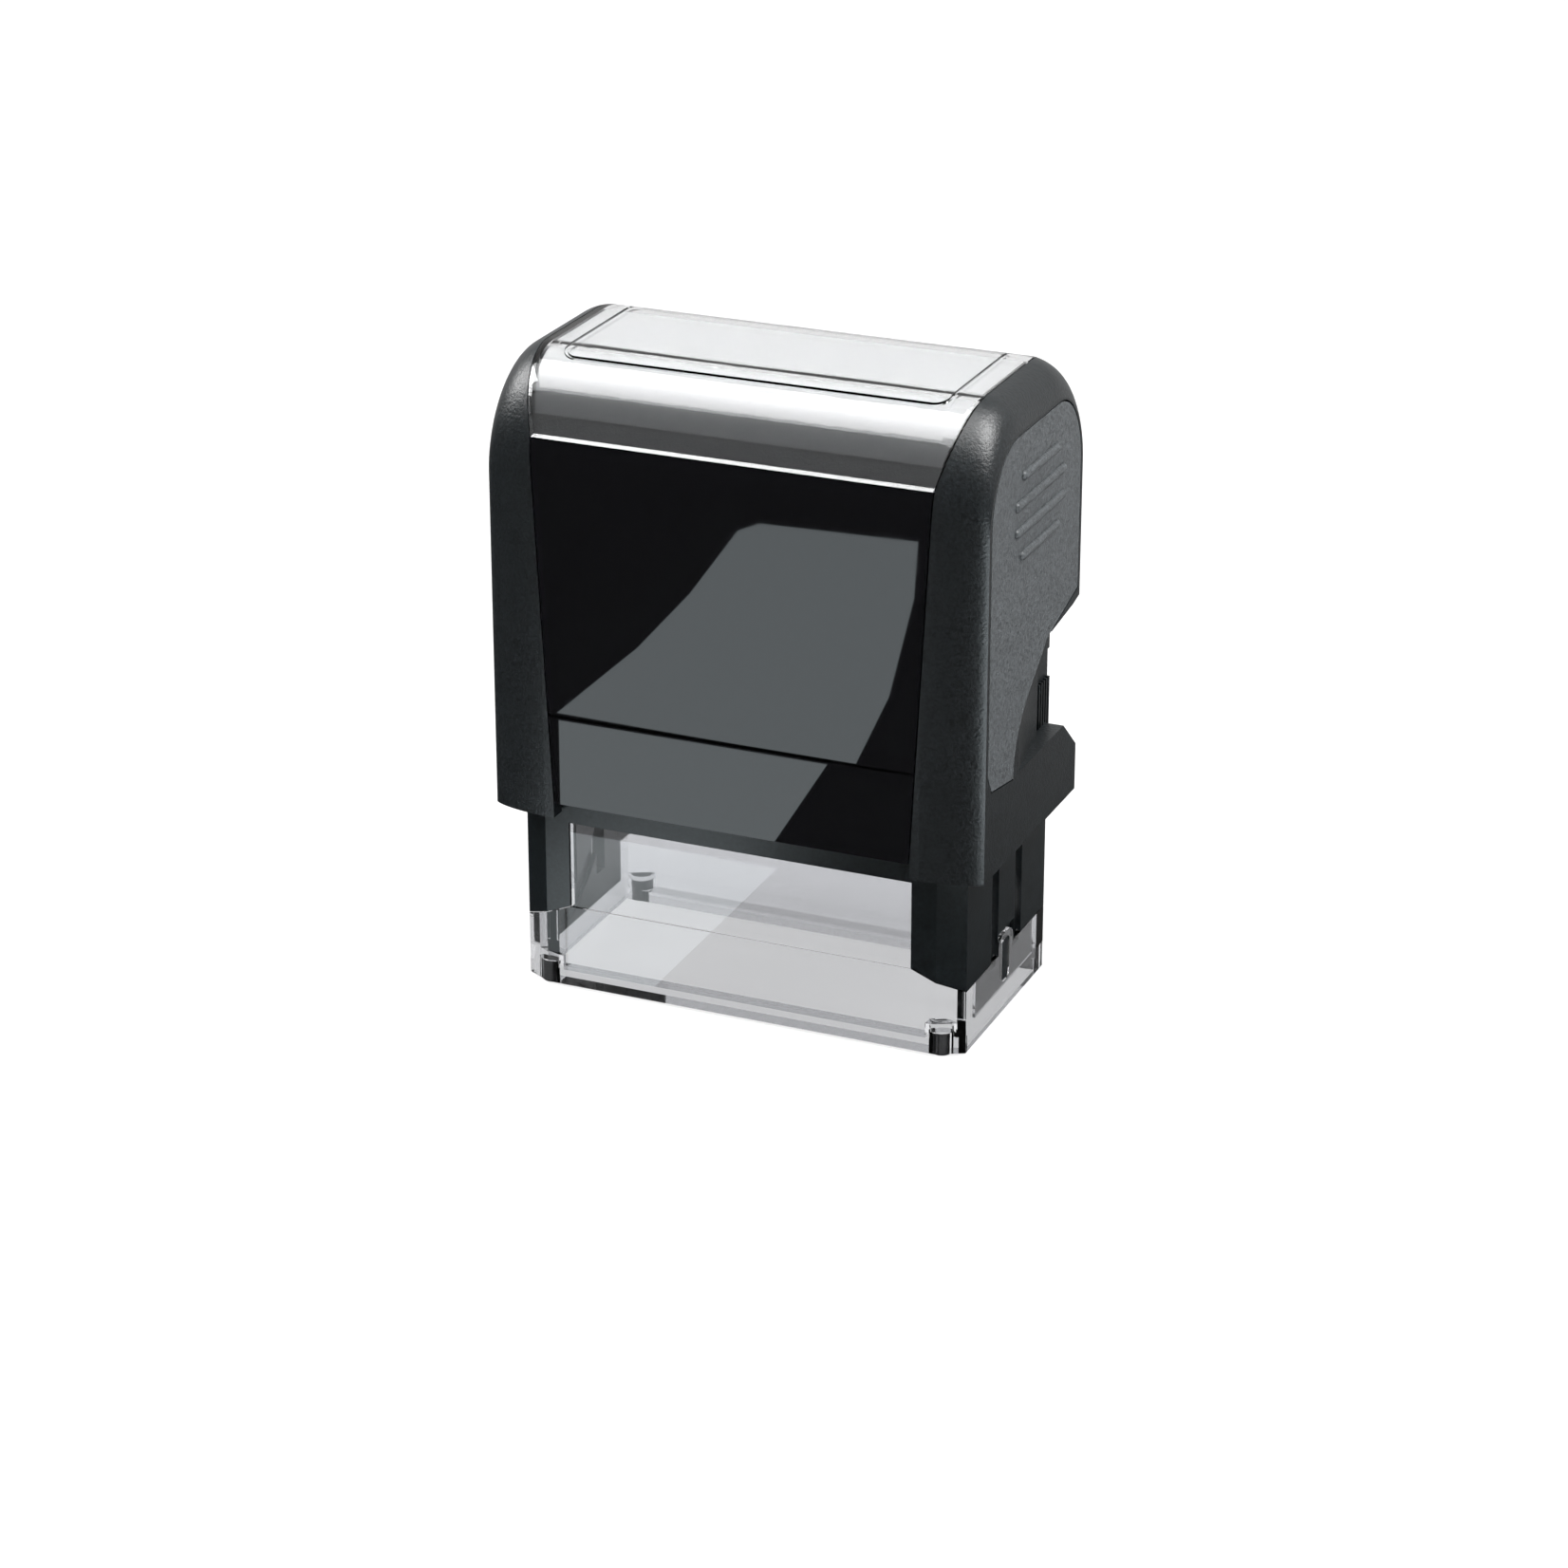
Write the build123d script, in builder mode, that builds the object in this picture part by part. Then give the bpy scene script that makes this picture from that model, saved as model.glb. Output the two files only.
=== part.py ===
from build123d import *
import math
import os

os.makedirs("parts", exist_ok=True)

# Self inking stamp.  Millimetres, +X to the right, -Y to the front, +Z up.
# The origin is the middle of the footprint, on the table.  Everything is drawn at rest:
# the cap up and the die turned up against the ink pad.

# ---------------------------------------------------------------- driving dimensions
cap_width = 56.0            # over the two side faces
cap_depth = 31.2            # over the front and rear faces
stroke = 19.0               # travel of the cap from rest to imprint
die_depth = 14.0            # imprint size along Y

# cap
cap_side_wall = 2.1
cap_front_wall = 1.9
ceiling_thickness = 2.4
ceiling_gap = 1.0           # between the frame's top and the ceiling of the pressed cap
cap_ground_gap = 2.0        # under the rim of the pressed cap
corner_reach = 9.2          # how far the rounded front edge runs back over the top
corner_drop = 11.0          # how far it runs down the front
side_reach_loss = 1.0       # the side face's corners are this much shorter
side_drop_loss = 2.0        # and this much lower
cavity_reach = 8.0          # the same rounding inside, over the top
cavity_drop = 9.0           # and down the front
wing_setback = 1.7          # the side face lies this far behind the front face
shoulder_drop = 3.8         # the side face tops out this far below the roof
shoulder_width = 3.3
rim_step = 1.7              # the front edge of the rim is cut back by this much
service_below = 2.9         # the rear opening starts this far below the ledges
service_above = 0.5         # and ends this far over the cassette as the pressed cap sees it
service_side = 0.3          # its sides, from the cavity's

# window, card and panels
window_wall = 1.2
window_drop = 8.0           # height of the window's front and rear lips
window_top_inset = 3.3      # from the side face to the window's seam, at the roof
window_lip_inset = 5.5      # the same, at the lip
panel_foot_inset = 7.6      # the same, at the foot of the front panel
card_thickness = 0.25
card_margin = 0.5           # from the window's seam at the roof to the card's sides
card_drop = 6.0             # how far the card reaches down the front and rear
frame_line_x = 3.2          # the line round the window's top, from the seam
frame_line_y = 9.5          # and its half length along Y
frame_line_corner = 1.6
frame_line_width = 0.35
frame_line_depth = 0.25
panel_thickness = 0.9
card_gap = 0.05             # between the card and the ceiling
panel_groove_height = 10.1  # height of the line across the front panel over its foot
groove_width = 0.4
groove_depth = 0.3
seam = 0.15                 # between pieces that lie flush
fit_gap = 0.02              # between a piece and the recess that holds it

# side grips
grip_thickness = 0.9
grip_edge_gap = 0.5         # from the side face's front and rear edges
grip_top_gap = 0.3          # from its top
grip_reach = 7.2            # rounding of the upper corners, along Y
grip_drop = 8.4             # and down
grip_low = 9.6              # the lower front corner, over the rim
grip_chamfer_y = 1.2
grip_chamfer_z = 2.0
grip_heel = 3.0             # the lower rear corner, over the notch
grip_ridge_height = 0.25
grip_ridge_width = 1.0
grip_ridge_pitch = 2.87
grip_ridge_taper = 20
grip_row_lengths = (10.0, 13.6, 13.6, 10.4)
grip_row_y = 0.7
grip_row_drop = 8.8         # from the cap's top to the first row
sweep_tail_y = -5.7         # front end of the swept edge between grip and scoop
sweep_tail_height = 8.6     # over the rim
sweep_raise = 0.2           # the scoop runs this far over the grip's edge
scoop_depth = 1.4
scoop_radius = 45.0
scoop_y = 7.0               # where the scoop is deepest
notch_front = 5.0           # front edge of the notch that shows the cassette
notch_bend = 9.8            # behind this the notch's lower edge falls away
notch_fall = 3.6
notch_base = 0.5            # the lower edge, over the pad's face
notch_head = 4.0            # the upper edge, over the cassette
notch_slope = 2.0           # how far the upper edge rises to the rear

# frame
frame_wall = 1.5
inner_corner_x = 2.4        # the corner chamfer inside, along X
inner_corner_y = 1.2
frame_corner_x = 2.9        # the corner chamfer, along X
frame_corner_y = 1.5        # and along Y
window_sill = 19.6          # top of the frame's front and rear cut-outs
leg_rise = 2.3              # slant of the underside of the legs
leg_bottom = 7.5
frame_head = 8.2            # side walls above the roof
slope_height = 6.0          # slope of the frame's top down to the front and rear walls
slope_depth = 4.8
slot_width = 2.0
slot_offset = 3.5
slot_tail = 1.0             # the slots start this far below the legs' underside
slot_head = 1.3             # and stop this far below the top
cam_groove_depth = 0.55
side_foot = 3.2             # the side walls reach down to here inside the clear foot
side_foot_wall = 1.0
side_foot_margin = 2.2      # beyond the cam pin's circle
ledge_height = 1.1
ledge_end_gap = 0.4
roof_thickness = 1.5
root = 0.5                  # a web runs this far into the wall that carries it
seat_wall = 0.9             # ring round the spring's foot
seat_height = 2.5
seat_gap = 0.3
latch_seat_top = 10.0
latch_z = 6.2               # middle of the latch studs
stud_width = 2.0
stud_height = 4.8
stud_corner = 0.6

# running gaps
cap_gap = 0.4
arm_gap = 0.3
die_end_gap = 0.4
pad_gap = 0.4
ledge_gap = 0.1
latch_gap = 0.1
bore_gap = 0.05
swing_gap = 0.45            # between the turning carrier's corners and the ledges
roof_gap = 0.3              # between the cassette and the frame's roof
ear_gap = 0.2
cam_gap = 0.15
pin_end_gap = 0.1           # at the ends of pins, ribs and trunnions
overrun = 0.1               # a cut starts this far before the face it opens

# yoke, axle and die
arm_thickness = 1.5
arm_half_depth = 4.5
bridge_thickness = 1.5
axle_radius = 1.6
axle_to_face = 5.0
cam_radius = 6.5
cam_pin_radius = 1.0
carrier_margin_x = 2.8      # carrier beyond the die at each end
carrier_margin_y = 1.0
carrier_half_height = 2.4
carrier_corner = 0.8
pocket_count = 4            # hollows in the carrier's underside
pocket_depth = 1.0
pocket_rib = 1.2
pocket_edge_x = 4.0
pocket_edge_y = 1.5
foam_thickness = 1.0
die_corner = 0.5
relief_share = 0.5          # of the rubber's thickness
border_inset = 0.5
border_width = 0.6
border_corner = 0.3
bar_count = 3
bar_inset_x = 3.0
bar_inset_y = 2.0
rib_clearance = 0.1

# cassette
tray_height = 8.1
tray_depth_front = 11.5
tray_depth_rear = 12.1
tray_relief_depth = 1.2     # the two shallow hollows in its top
tray_relief_rib = 1.5
pad_thickness = 4.4
pad_margin_x = 0.5          # pad beyond the die
pad_margin_y = 1.0
pad_fit = 0.05
ear_width = 3.4
ear_front = 8.5
ear_drop = 0.7
ear_rib_depth = 0.35
ear_rib_count = 5
ear_rib_share = 0.45
ear_rib_height = 5.8

# spring
spring_wire = 1.0
spring_radius = 5.2
spring_turns = 6
spring_post_radius = 3.6
spring_post_length = 5.0
spring_post_chamfer = 0.5
spring_end_gap = 0.05

# foot
foot_lift = 0.3             # the clear foot stands clear of the table on its rubber feet
rubber_radius = 1.2
rubber_height = 2.6
rubber_chamfer = 0.15
rubber_inset_x = 1.2        # from the inside of the frame's side walls
rubber_inset_y = 0.35
rubber_block_wall = 0.45    # round each rubber foot
rubber_block_top = 0.4
pane_thickness = 1.2
pane_margin = 0.8           # panes beyond the die
pane_inset = 0.2
foot_flange = 3.1
foot_flange_height = 1.3
loop_width = 4.4            # latch loops
loop_height = 6.8
loop_corner = 1.4
loop_drop = 0.2             # below the studs

# ---------------------------------------------------------------- worked-out places
half_width = cap_width / 2
half_depth = cap_depth / 2
frame_x = half_width - cap_side_wall - cap_gap
frame_y = half_depth - cap_front_wall - cap_gap
inner_x = frame_x - frame_wall
inner_y = frame_y - frame_wall
cavity_x = half_width - cap_side_wall
cavity_y = half_depth - cap_front_wall

arm_outer = inner_x - arm_gap
arm_inner = arm_outer - arm_thickness
carrier_x = arm_inner - die_end_gap
die_x = carrier_x - carrier_margin_x
die_y = die_depth / 2
carrier_y = die_y + carrier_margin_y
opening_x = die_x + pane_margin
arm_slot = inner_x + root - arm_inner + arm_gap

axle_z = stroke + axle_to_face
pad_z = axle_z + axle_to_face + pad_gap
tray_top = pad_z + tray_height
swing_radius = math.hypot(carrier_y, axle_to_face)
ledge_y = swing_radius + swing_gap
ledge_top = pad_z - ledge_gap
roof_bottom = tray_top + roof_gap
roof_top = roof_bottom + roof_thickness
frame_top = roof_top + frame_head
frame_shoulder = frame_top - slope_height
frame_shoulder_y = frame_y - slope_depth
slot_bottom = leg_bottom - slot_tail
slot_top = frame_top - slot_head
side_foot_y = cam_radius + side_foot_margin
skirt = frame_wall - side_foot_wall - latch_gap
rubber_x = inner_x - rubber_inset_x
rubber_y = frame_y - rubber_inset_y - rubber_radius

ceiling = frame_top + stroke + ceiling_gap
cap_top = ceiling + ceiling_thickness + card_gap + card_thickness + window_wall
cap_rim = stroke + cap_ground_gap
lip_z = cap_top - window_drop
panel_foot = cap_rim + rim_step
bridge_bottom = ceiling - bridge_thickness

service_low = ledge_top - service_below
service_high = tray_top + stroke + service_above
notch_low = pad_z + notch_base
notch_high = tray_top + notch_head
side_edge = half_depth - wing_setback
# the swept edge between the grip and the scoop, from the notch forwards and down
sweep_edge = ((notch_front - 1.0, notch_high + 0.4), (0.8, notch_high - 2.2), (-2.4, notch_high - 4.8),
              (-4.9, notch_high - 8.3), (sweep_tail_y, cap_rim + sweep_tail_height))

far = 2 * cap_width         # longer than anything that is cut


def side_outline(x, inset, front, top, reach, drop):
    """A face across X: upright front and rear edges, joined to the flat top by quarter ellipses."""
    y = front - inset
    z = top - inset
    a = reach - inset
    b = drop - inset
    with BuildSketch(Plane.YZ.offset(x), mode=Mode.PRIVATE) as outline:
        with BuildLine():
            Line((-y, cap_rim), (-y, z - b))
            EllipticalCenterArc((-y + a, z - b), a, b, start_angle=90, arc_size=90)
            Line((-y + a, z), (y - a, z))
            EllipticalCenterArc((y - a, z - b), a, b, start_angle=0, arc_size=90)
            Line((y, z - b), (y, cap_rim))
            Line((y, cap_rim), (-y, cap_rim))
        make_face()
    return outline.sketch


def saddle(inset, reach_x):
    """The cap's rounded block, set in by inset all over, for the shells that follow it."""
    with BuildPart(mode=Mode.PRIVATE) as block:
        outline = side_outline(-reach_x, inset, half_depth, cap_top, corner_reach, corner_drop)
        extrude(outline, amount=2 * reach_x)
    return block.part


def plan_outline(x, y, corner_x, corner_y):
    """A rectangle with cut corners, seen from above."""
    corners = []
    for sign_x, sign_y, flip in ((1, -1, 0), (1, 1, 1), (-1, 1, 0), (-1, -1, 1)):
        pair = [(sign_x * (x - corner_x), sign_y * y), (sign_x * x, sign_y * (y - corner_y))]
        corners += pair[::-1] if flip else pair
    with BuildSketch(mode=Mode.PRIVATE) as outline:
        with BuildLine():
            Polyline(*corners, close=True)
        make_face()
    return outline.sketch_local


def front_wedge(low_x, high_x, low_z, high_z):
    """A block through the cap from front to rear, whose sides lean, seen from the front."""
    with BuildPart(mode=Mode.PRIVATE) as block:
        with BuildSketch(Plane.XZ):
            with BuildLine():
                Polyline((-low_x, low_z), (low_x, low_z), (high_x, high_z), (-high_x, high_z), close=True)
            make_face()
        extrude(amount=far / 2, both=True)
    return block.part


def finish_part(builder, name):
    builder.part.label = name
    export_step(builder.part, f"parts/{name}.step")


# ---------------------------------------------------------------- the cap's outer block
seam_top_x = half_width - window_top_inset
seam_lip_x = half_width - window_lip_inset
seam_foot_x = half_width - panel_foot_inset

# how far each section of the wing has gone from shoulder to side face: across, back, down, corner
wing_steps = ((0, 0.25, 0, 0), (0.64, 0.6, 0.32, 0.4), (1, 1, 1, 1))
wing_sections = [side_outline(seam_foot_x, 0, half_depth, cap_top, corner_reach, corner_drop)]
for across, back, down, shrink in wing_steps:
    wing_sections.append(
        side_outline(half_width - (1 - across) * shoulder_width, 0, half_depth - back * wing_setback,
                     cap_top - down * shoulder_drop, corner_reach - shrink * side_reach_loss,
                     corner_drop - shrink * side_drop_loss)
    )

with BuildPart() as wing:
    loft(wing_sections)

with BuildPart() as outer_block:
    add(saddle(0, seam_foot_x))
    add(wing.part)
    mirror(wing.part, about=Plane.YZ)
    add(saddle(0, half_width), mode=Mode.INTERSECT)

# ---------------------------------------------------------------- cap shell
with BuildPart() as window_space:
    add(front_wedge(seam_lip_x, seam_top_x, lip_z, cap_top))
    add(saddle(window_wall + card_thickness + card_gap, half_width), mode=Mode.SUBTRACT)

with BuildPart() as panel_space:
    add(front_wedge(seam_foot_x, seam_lip_x, panel_foot, lip_z))
    add(saddle(panel_thickness, half_width), mode=Mode.SUBTRACT)
    split(bisect_by=Plane.XZ, keep=Keep.TOP)

with BuildPart() as cavity:
    extrude(side_outline(-cavity_x, 0, cavity_y, ceiling, cavity_reach, cavity_drop), amount=2 * cavity_x)
    with BuildSketch(Plane.XY.offset(cap_rim)):
        add(plan_outline(cavity_x, cavity_y, frame_corner_x, frame_corner_y))
    extrude(amount=far, mode=Mode.INTERSECT)


def grip_outline(margin):
    """The side grip, seen from the side, kept margin clear of its recess."""
    edge = side_edge - grip_edge_gap - margin
    top = cap_top - shoulder_drop - grip_top_gap - margin
    low = cap_rim + grip_low + margin
    upper = top - grip_drop
    sweep = [(y, z + margin) for y, z in sweep_edge]
    heel = (edge, notch_high + grip_heel + margin)
    with BuildSketch(mode=Mode.PRIVATE) as outline:
        with BuildLine():
            Line((-edge, low + grip_chamfer_z), (-edge, upper))
            EllipticalCenterArc((-edge + grip_reach, upper), grip_reach, grip_drop,
                                start_angle=90, arc_size=90)
            Line((-edge + grip_reach, top), (edge - grip_reach, top))
            EllipticalCenterArc((edge - grip_reach, upper), grip_reach, grip_drop,
                                start_angle=0, arc_size=90)
            Line((edge, upper), heel)
            Line(heel, sweep[0])
            Spline(*sweep)
            Line(sweep[-1], (-edge + grip_chamfer_y, low))
            Line((-edge + grip_chamfer_y, low), (-edge, low + grip_chamfer_z))
        make_face()
    return outline.sketch_local


with BuildPart() as grip_space:
    with BuildSketch(Plane.YZ.offset(half_width - grip_thickness)):
        add(grip_outline(0))
    extrude(amount=far)

with BuildPart() as scoop:
    with BuildSketch(Plane.YZ.offset(half_width - cap_side_wall)):
        with BuildLine():
            raised = [(y, z + sweep_raise) for y, z in sweep_edge]
            Spline(*raised)
            Polyline(raised[-1], (notch_front, notch_low), (notch_bend, notch_low),
                     (half_depth, notch_low - notch_fall), (half_depth, notch_high + notch_slope), raised[0])
        make_face()
    extrude(amount=far)
    with BuildSketch(Plane.XY):
        with Locations((half_width + scoop_radius - scoop_depth, scoop_y)):
            Circle(scoop_radius)
    extrude(amount=far, mode=Mode.INTERSECT)

with BuildPart() as notch:
    with BuildSketch(Plane.YZ.offset(half_width - 2 * cap_side_wall)):
        with BuildLine():
            Polyline((notch_front, notch_low), (notch_bend, notch_low), (side_edge, notch_low - notch_fall),
                     (far, notch_low - notch_fall), (far, notch_high + notch_slope),
                     (side_edge, notch_high + notch_slope), (notch_front, notch_high), close=True)
        make_face()
    extrude(amount=far)

with BuildPart() as cap_shell:
    add(outer_block.part)
    add(cavity.part, mode=Mode.SUBTRACT)
    add(window_space.part, mode=Mode.SUBTRACT)
    add(panel_space.part, mode=Mode.SUBTRACT)
    mirror(panel_space.part, about=Plane.XZ, mode=Mode.SUBTRACT)
    for cut in (grip_space.part, scoop.part, notch.part):
        add(cut, mode=Mode.SUBTRACT)
        mirror(cut, about=Plane.YZ, mode=Mode.SUBTRACT)
    # the rim is cut back between the wings, front and rear
    with BuildSketch(Plane.XZ):
        with Locations((0, cap_rim + rim_step / 2)):
            Rectangle(2 * seam_foot_x, rim_step)
    extrude(amount=far / 2, both=True, mode=Mode.SUBTRACT)
    # rear opening, which the ink cassette leaves through at any height of the cap
    with BuildSketch(Plane.XZ):
        with Locations((0, (service_low + service_high) / 2)):
            Rectangle(2 * (cavity_x - service_side), service_high - service_low)
    extrude(amount=-far / 2, mode=Mode.SUBTRACT)
finish_part(cap_shell, "cap_shell")

# ---------------------------------------------------------------- gloss panels
with BuildPart() as front_panel:
    add(outer_block.part)
    add(front_wedge(seam_foot_x - seam, seam_lip_x - seam, panel_foot, lip_z - seam), mode=Mode.INTERSECT)
    add(saddle(panel_thickness - fit_gap, half_width), mode=Mode.SUBTRACT)
    split(bisect_by=Plane.XZ, keep=Keep.TOP)
    # the line across it
    with BuildSketch(Plane.YZ):
        with Locations((-half_depth, panel_foot + panel_groove_height)):
            Rectangle(2 * groove_depth, groove_width)
    extrude(amount=far / 2, both=True, mode=Mode.SUBTRACT)
finish_part(front_panel, "front_panel")

with BuildPart() as rear_panel:
    add(outer_block.part)
    add(front_wedge(seam_foot_x - seam, seam_lip_x - seam, panel_foot, lip_z - seam), mode=Mode.INTERSECT)
    add(saddle(panel_thickness - fit_gap, half_width), mode=Mode.SUBTRACT)
    split(bisect_by=Plane.XZ, keep=Keep.BOTTOM)
    split(bisect_by=Plane.XY.offset(service_high + seam), keep=Keep.TOP)
finish_part(rear_panel, "rear_panel")

# ---------------------------------------------------------------- side grips
with BuildPart() as grip_panel_right:
    with BuildSketch(Plane.YZ.offset(half_width - grip_thickness + fit_gap)):
        add(grip_outline(seam))
    extrude(amount=grip_thickness - fit_gap)
    with BuildSketch(Plane.YZ.offset(half_width)):
        for row, length in enumerate(grip_row_lengths):
            with Locations((grip_row_y, cap_top - grip_row_drop - row * grip_ridge_pitch)):
                SlotOverall(length + grip_ridge_width, grip_ridge_width)
    extrude(amount=grip_ridge_height, taper=grip_ridge_taper)
    add(scoop.part, mode=Mode.SUBTRACT)
finish_part(grip_panel_right, "grip_panel_right")

with BuildPart() as grip_panel_left:
    mirror(grip_panel_right.part, about=Plane.YZ)
finish_part(grip_panel_left, "grip_panel_left")

# ---------------------------------------------------------------- window and card
with BuildPart() as window_line:
    with BuildSketch(Plane.XY.offset(cap_top - corner_drop / 2)):
        line_x = seam_top_x - frame_line_x
        RectangleRounded(2 * line_x + frame_line_width, 2 * frame_line_y + frame_line_width,
                         frame_line_corner + frame_line_width / 2)
        RectangleRounded(2 * line_x - frame_line_width, 2 * frame_line_y - frame_line_width,
                         frame_line_corner - frame_line_width / 2, mode=Mode.SUBTRACT)
    extrude(amount=corner_drop)
    add(saddle(frame_line_depth, half_width), mode=Mode.SUBTRACT)

with BuildPart() as index_window:
    add(outer_block.part)
    add(front_wedge(seam_lip_x - seam, seam_top_x - seam, lip_z + seam / 2, cap_top), mode=Mode.INTERSECT)
    add(saddle(window_wall, half_width), mode=Mode.SUBTRACT)
    add(window_line.part, mode=Mode.SUBTRACT)
finish_part(index_window, "index_window")

with BuildPart() as index_card:
    add(saddle(window_wall + 2 * fit_gap, half_width))
    add(saddle(window_wall + card_thickness, half_width), mode=Mode.SUBTRACT)
    add(front_wedge(seam_lip_x - card_margin, seam_top_x - card_margin, lip_z, cap_top), mode=Mode.INTERSECT)
    with BuildSketch(Plane.XZ):
        with Locations((0, cap_top)):
            Rectangle(far, 2 * card_drop)
    extrude(amount=far / 2, both=True, mode=Mode.INTERSECT)
finish_part(index_card, "index_card")

# ---------------------------------------------------------------- yoke under the ceiling
with BuildPart() as plunger_yoke:
    with BuildSketch(Plane.XY.offset(bridge_bottom)):
        Rectangle(2 * arm_outer, 2 * arm_half_depth)
    extrude(amount=ceiling - bridge_bottom)
    with BuildSketch(Plane.YZ.offset(arm_inner)) as arm_sketch:
        with Locations((0, (axle_z + ceiling) / 2)):
            Rectangle(2 * arm_half_depth, ceiling - axle_z)
        with Locations((0, axle_z)):
            Circle(arm_half_depth)
            Circle(axle_radius + bore_gap, mode=Mode.SUBTRACT)
    extrude(amount=arm_thickness)
    # ribs that run in the slots of the frame
    rib_low = leg_bottom + stroke + arm_gap
    rib_high = slot_top - arm_gap
    with BuildSketch(Plane.YZ.offset(arm_outer)):
        with Locations((-slot_offset, (rib_low + rib_high) / 2), (slot_offset, (rib_low + rib_high) / 2)):
            Rectangle(slot_width - 2 * rib_clearance, rib_high - rib_low)
    extrude(amount=frame_x - pin_end_gap - arm_outer)
    mirror(about=Plane.YZ)
    # post that keeps the spring in place
    with BuildSketch(Plane.XY.offset(bridge_bottom)):
        Circle(spring_post_radius)
    extrude(amount=-spring_post_length)
    post_end = bridge_bottom - spring_post_length
    chamfer(edges().filter_by_position(Axis.Z, post_end - fit_gap, post_end + fit_gap), spring_post_chamfer)
finish_part(plunger_yoke, "plunger_yoke")

# ---------------------------------------------------------------- frame
steps = 24
cam_path = []
for step in range(steps + 1):
    turn = math.pi * step / steps
    cam_path.append((cam_radius * math.cos(turn),
                     axle_z - stroke * step / steps - cam_radius * math.sin(turn)))

with BuildPart() as frame:
    with BuildSketch(Plane.XY.offset(side_foot)):
        add(plan_outline(frame_x, frame_y, frame_corner_x, frame_corner_y))
    extrude(amount=frame_top - side_foot)
    # the top slopes down to the front and rear walls, clear of the pressed cap
    with BuildSketch(Plane.YZ):
        with BuildLine():
            Polyline((-far, 0), (far, 0), (far, frame_shoulder), (frame_y, frame_shoulder),
                     (frame_shoulder_y, frame_top), (-frame_shoulder_y, frame_top),
                     (-frame_y, frame_shoulder), (-far, frame_shoulder), close=True)
        make_face()
    extrude(amount=far, both=True, mode=Mode.INTERSECT)
    # hollow
    with BuildSketch():
        add(plan_outline(inner_x, inner_y, inner_corner_x, inner_corner_y))
    extrude(amount=far, mode=Mode.SUBTRACT)
    # slanted undersides of the four legs
    with BuildSketch(Plane.XZ):
        with BuildLine():
            Polyline((-far, 0), (far, 0), (far, leg_bottom), (frame_x, leg_bottom),
                     (opening_x, leg_bottom + leg_rise), (-opening_x, leg_bottom + leg_rise),
                     (-frame_x, leg_bottom), (-far, leg_bottom), close=True)
        make_face()
    extrude(amount=far / 2, both=True, mode=Mode.SUBTRACT)
    # the side walls reach further down, behind the clear foot
    for sign in (-1, 1):
        with BuildSketch(Plane.YZ.offset(sign * inner_x)):
            with Locations((0, (side_foot + leg_bottom + leg_rise) / 2)):
                Rectangle(2 * side_foot_y, leg_bottom + leg_rise - side_foot)
        extrude(amount=sign * side_foot_wall)
    # cut-outs at the front and rear, where the clear panes stand
    with BuildSketch(Plane.XZ):
        Rectangle(2 * opening_x, 2 * window_sill)
    extrude(amount=far / 2, both=True, mode=Mode.SUBTRACT)
    # roof over the cassette, with slots for the yoke's arms and a ring that seats the spring
    with BuildSketch(Plane.XY.offset(roof_bottom)):
        add(plan_outline(inner_x + root, inner_y + root, frame_corner_x, frame_corner_y))
        with GridLocations(2 * (arm_inner - arm_gap) + arm_slot, 0, 2, 1):
            Rectangle(arm_slot, 2 * (arm_half_depth + arm_gap), mode=Mode.SUBTRACT)
    extrude(amount=roof_thickness)
    with BuildSketch(Plane.XY.offset(roof_top)):
        Circle(spring_radius + spring_wire / 2 + seat_gap + seat_wall)
        Circle(spring_radius + spring_wire / 2 + seat_gap, mode=Mode.SUBTRACT)
    extrude(amount=seat_height)
    # ledges that carry the cassette
    with BuildSketch(Plane.XY.offset(ledge_top)):
        for sign in (-1, 1):
            with Locations((0, sign * (ledge_y + inner_y + root) / 2)):
                Rectangle(2 * (carrier_x - ledge_end_gap), inner_y + root - ledge_y)
    extrude(amount=-ledge_height)
    # rear opening for the cassette, and its wider corners for the cassette's ears
    with BuildSketch(Plane.XZ.offset(-inner_y + overrun)):
        with Locations((0, (ledge_top + roof_bottom) / 2)):
            Rectangle(far, roof_bottom - ledge_top)
    extrude(amount=-far, mode=Mode.SUBTRACT)
    ear_space_x = carrier_x - ear_gap
    ear_space_low = pad_z - ear_drop - ledge_gap
    with BuildSketch(Plane.XZ.offset(-ear_front + ear_gap)):
        for sign in (-1, 1):
            with Locations((sign * (ear_space_x + far) / 2, (ear_space_low + roof_bottom) / 2)):
                Rectangle(far - ear_space_x, roof_bottom - ear_space_low)
    extrude(amount=-far, mode=Mode.SUBTRACT)
    # guide slots in the side walls
    for side in (-1, 1):
        with BuildSketch(Plane.YZ.offset(side * (inner_x - overrun))):
            for sign in (-1, 1):
                with Locations((sign * slot_offset, (slot_bottom + slot_top) / 2)):
                    Rectangle(slot_width, slot_top - slot_bottom)
        extrude(amount=side * 2 * frame_wall, mode=Mode.SUBTRACT)
    # blind cam grooves on the inner faces of the side walls
    with BuildSketch(Plane.YZ.offset(inner_x - root)):
        for place in cam_path:
            with Locations(place):
                Circle(cam_pin_radius + cam_gap)
        for first, second in zip(cam_path, cam_path[1:]):
            with Locations(((first[0] + second[0]) / 2, (first[1] + second[1]) / 2)):
                Rectangle(math.dist(first, second), 2 * (cam_pin_radius + cam_gap),
                          rotation=math.degrees(math.atan2(second[1] - first[1], second[0] - first[0])))
    groove = extrude(amount=root + cam_groove_depth, mode=Mode.PRIVATE)
    add(groove, mode=Mode.SUBTRACT)
    mirror(groove, about=Plane.YZ, mode=Mode.SUBTRACT)
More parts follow.
